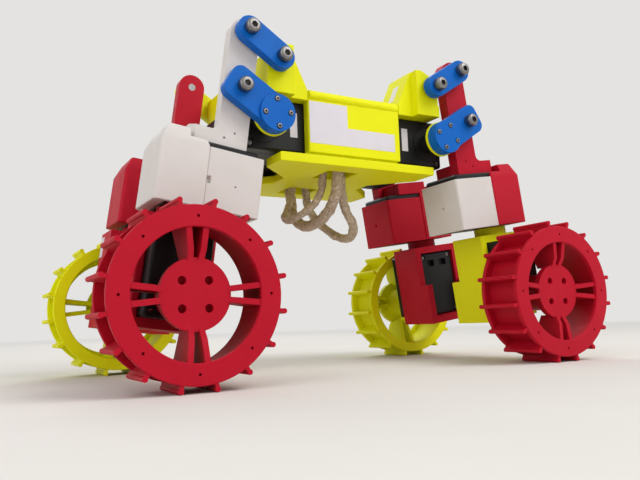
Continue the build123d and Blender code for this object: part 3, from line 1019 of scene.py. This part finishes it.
# %% The bundle tree
FOLD_DEPTH = 1.6
FOLD_MEAN = 0.1
FOLD_SHARPER = 2.2
SKIN_STEP = 0.7 * MM
SKIN_SIDES = 28


def bundle_tree():
    """A skin round a line, with soft creases and sharp folds that even out."""
    tree, inputs = geometry_tree("taped_bundle", {
        "Line": "Object", "Radius": "Float", "Crease": "Float", "Crease size": "Float", "Seed": "Float"})
    path = tree.add("GeometryNodeMeshToCurve", Mesh=mesh_input(tree, inputs["Line"]))
    path = tree.add("GeometryNodeResampleCurve", {"mode": "LENGTH"}, Curve=path, Length=SKIN_STEP)
    section = tree.add("GeometryNodeCurvePrimitiveCircle", Resolution=SKIN_SIDES, Radius=inputs["Radius"])
    skin = tree.add("GeometryNodeCurveToMesh", Curve=path, Profile_Curve=section, Fill_Caps=True)
    soft, sharp = (tree.add("ShaderNodeTexNoise", {"noise_dimensions": "4D"},
                            W=inputs["Seed"], Scale=share / inputs["Crease size"], Detail=1.0)
                   for share in (1.0, FOLD_SHARPER))
    folds = (soft - 0.5) + FOLD_DEPTH * (FOLD_MEAN - abs(sharp - 0.5))
    normal = tree.add("GeometryNodeInputNormal")
    push = tree.add("ShaderNodeVectorMath", {"operation": "SCALE"},
                    {0: normal, "Scale": folds * inputs["Crease"]})
    skin = tree.add("GeometryNodeSetPosition", Geometry=skin, Offset=push)
    return end_tree(tree, skin, inputs)


BUNDLE = bundle_tree()
for seed, (name, (radius, route)) in enumerate(BUNDLES.items()):
    line, points = smooth_line(name, [(x * MM, y * MM, DECK_TOP - drop_by * MM) for x, y, drop_by in route])
    skin = grow(name + "_tape", BUNDLE, {"Line": line, "Radius": radius * MM, "Crease": 1.8 * MM,
                                         "Crease size": 5.5 * MM, "Seed": 4.0 * seed, "Material": tape})
    drop(line)
    wear(shade(skin, least=60), "body", "tape_tan", tape, name)

# %% [markdown]
# ## The lid's rolled edge
# Along the lid's right side the print has sagged into an uneven roll, thicker at the back. The skin tree of
# the bundles draws it as well, round a straight line and with much fainter creases.

# %% Rolled edge
ROLL_R = 3.2 * MM
ROLL_INSET = (1.6 * MM, 2.4 * MM)
ROLL_SAG = (0.0, 0.3 * MM)
roll_ends = [(x, body_low.y + inset, body_high.z - ROLL_R - sag)
             for x, inset, sag in zip((body_low.x + MM, body_high.x - MM), ROLL_INSET, ROLL_SAG)]
line = smooth_line("lid_roll", roll_ends)[0]
roll = grow("lid_roll", BUNDLE, {"Line": line, "Radius": ROLL_R, "Crease": 0.6 * MM, "Crease size": 5.0 * MM,
                                 "Seed": 11.0, "Material": plastic["yellow", "side"]})
drop(line)
wear(shade(roll, least=60), "body", "yellow", plastic["yellow", "side"])

# %% [markdown]
# ## Labels
# Strips of label tape mark the housing and the servos. Nothing is printed on them here. Each is a thin
# slab with softened edges that rises a tenth of a millimetre from the face that it is stuck to.

# %% Paper labels
PAPER = 0.12 * MM
PAPER_EDGE = 0.03 * MM
KNUCKLE_HALF = 21.0 * MM
KNUCKLE_LABEL = (-45.0 * MM, -87.5 * MM)
SLOPE_TOP = 12.0 * MM
SLOPE_LABEL_Y = -34.5 * MM
SLOPE_SHARE = 0.45


def label(name, body, place, wide, tall, leg):
    """A thin slab of tape on this leg's side, in a place whose Z leaves the face."""
    sides = ((-size * MM / 2, size * MM / 2) for size in (wide, tall))
    made = placed(placed(block(name, *sides, (-PAPER, PAPER)), place), mirror_of(leg))
    soften(made, PAPER_EDGE, segments=1)
    wear(made, body, "white", paper)


# Labels on the body's sides: X and height above the lift axis, the face, width and height, and the leg
# whose side it is.
for name, x, z, face, wide, tall, leg in (
        ("housing_label", -19.9, 8.7, housing_face, 27.4, 14.6, "front_right"),
        ("housing_strip", -1.8, -4.5, housing_face, 63.6, 11.8, "front_right"),
        ("front_servo_label", 43.2, 1.2, servo_face, 5.0, 15.5, "front_right"),
        ("rear_servo_label", 41.4, 1.2, servo_face, 5.0, 15.5, "rear_right")):
    label(name, "body", Matrix.Translation((x * MM, face, lift.z + z * MM)) @ OUTWARD, wide, tall, leg)

knuckle_x = (leg_place.inverted() @ sweep).x + KNUCKLE_HALF
on_knuckle = leg_place @ Matrix.Translation((knuckle_x, *KNUCKLE_LABEL)) @ Matrix.Rotation(pi / 2, 4, "Y")
for leg in ("rear_right", "rear_left"):
    label("knuckle_label_" + leg, "knuckle_" + leg, on_knuckle, wide=13, tall=8, leg=leg)

slope = Vector((upper.x - SLOPE_TOP - body_high.x, 0, tower_high.z - body_high.z))
slope_foot = Vector((body_high.x, SLOPE_LABEL_Y, body_high.z))
slope_turn = Matrix.Rotation(-atan2(slope.z, slope.x), 4, "Y")
on_slope = Matrix.Translation(slope_foot + SLOPE_SHARE * slope) @ slope_turn
label("tower_label", "body", on_slope, wide=13, tall=6, leg="front_right")

# %% [markdown]
# ## Floor, light and camera
# The floor is pale and plain. Two large soft lamps and a pale world light the rover evenly, so that each
# colour renders about as it is written. The camera stands where the photograph was taken, low on the
# rover's right side and turned towards its front.

# %% Stage
BACKDROP = linear(228, 227, 225)
FADE_FROM = 0.5
FADE_OVER = 1.6
FLOOR_HALF = 6.0
CLOUD_SIZE = 0.08
NOTHING = linear(0, 0, 0)
AIM = Vector((0, 0, 0.1))


def seen(tree):
    """One for the rays that see a thing, directly or in a reflection, and nought for those that light."""
    camera, glossy, clear = (tree.add("ShaderNodeLightPath", out=f"Is {kind} Ray")
                             for kind in ("Camera", "Glossy", "Transmission"))
    return camera.most(glossy).most(clear)


def floor_piece():
    """A pale floor, wide enough for every view, that fades into the backdrop."""
    shape = bmesh.new()
    bmesh.ops.create_grid(shape, x_segments=2, y_segments=2, size=FLOOR_HALF)
    made = to_object("floor", shape)
    material, tree, shader, place = new_material("floor_pale")
    cloud = noise(tree, place, CLOUD_SIZE, detail=4.0)
    far = tree.add("ShaderNodeVectorMath", {"operation": "LENGTH"}, {0: place}, out=1)
    faded = ((far - FADE_FROM) / FADE_OVER).most(0.0).least(1.0) * seen(tree)
    pale = tint(tree, cloud, linear(228, 224, 218), linear(221, 217, 211))
    tree.feed(shader, Base_Color=tint(tree, faded, pale, NOTHING), Roughness=0.85 + 0.1 * cloud,
              Emission_Color=tint(tree, faded, NOTHING, BACKDROP), Emission_Strength=1.0,
              Specular_IOR_Level=0.0)
    made.data.materials.append(material)


def lamp(name, place, size, power):
    """A square soft lamp that faces the rover."""
    light = bpy.data.lights.new(name, "AREA")
    light.shape = "SQUARE"
    light.size = size
    light.energy = power
    made = linked(name, light)
    made.location = place
    made.rotation_euler = (AIM - Vector(place)).to_track_quat("-Z", "Y").to_euler()


floor_piece()
lamp("key_lamp", (0.5, -0.9, 1.1), size=0.9, power=11)
lamp("fill_lamp", (-1.1, -0.5, 0.7), size=1.1, power=5)
lamp("back_lamp", (0.2, 1.1, 1.0), size=0.9, power=6)
world = bpy.data.worlds.new("studio")
world.use_nodes = True
sky = Tree(world.node_tree)
shown = tint(sky, seen(sky), linear(196, 197, 199), BACKDROP)
sky.feed(world.node_tree.nodes["Background"], Color=shown)
bpy.context.scene.world = world
bpy.context.scene.view_settings.view_transform = "Standard"

# %% Camera
# How far the camera looks to the right and up, and how far it leans, in radians.
YAW = 0.518
PITCH = 0.124
ROLL = -0.034
CAMERA_AT = (-0.2228, -0.3858, 0.0307)
camera_data = bpy.data.cameras.new("photo_camera")
camera_data.sensor_width = 36.0
camera_data.lens = 36.84
camera = linked("photo_camera", camera_data)
forward = Vector((sin(YAW) * cos(PITCH), cos(YAW) * cos(PITCH), sin(PITCH)))
level = Vector((cos(YAW), -sin(YAW), 0))
above = level.cross(forward)
right = cos(ROLL) * level + sin(ROLL) * above
top = -sin(ROLL) * level + cos(ROLL) * above
camera.matrix_world = Matrix.Translation(CAMERA_AT) @ Matrix((right, top, -forward)).transposed().to_4x4()
bpy.context.scene.camera = camera
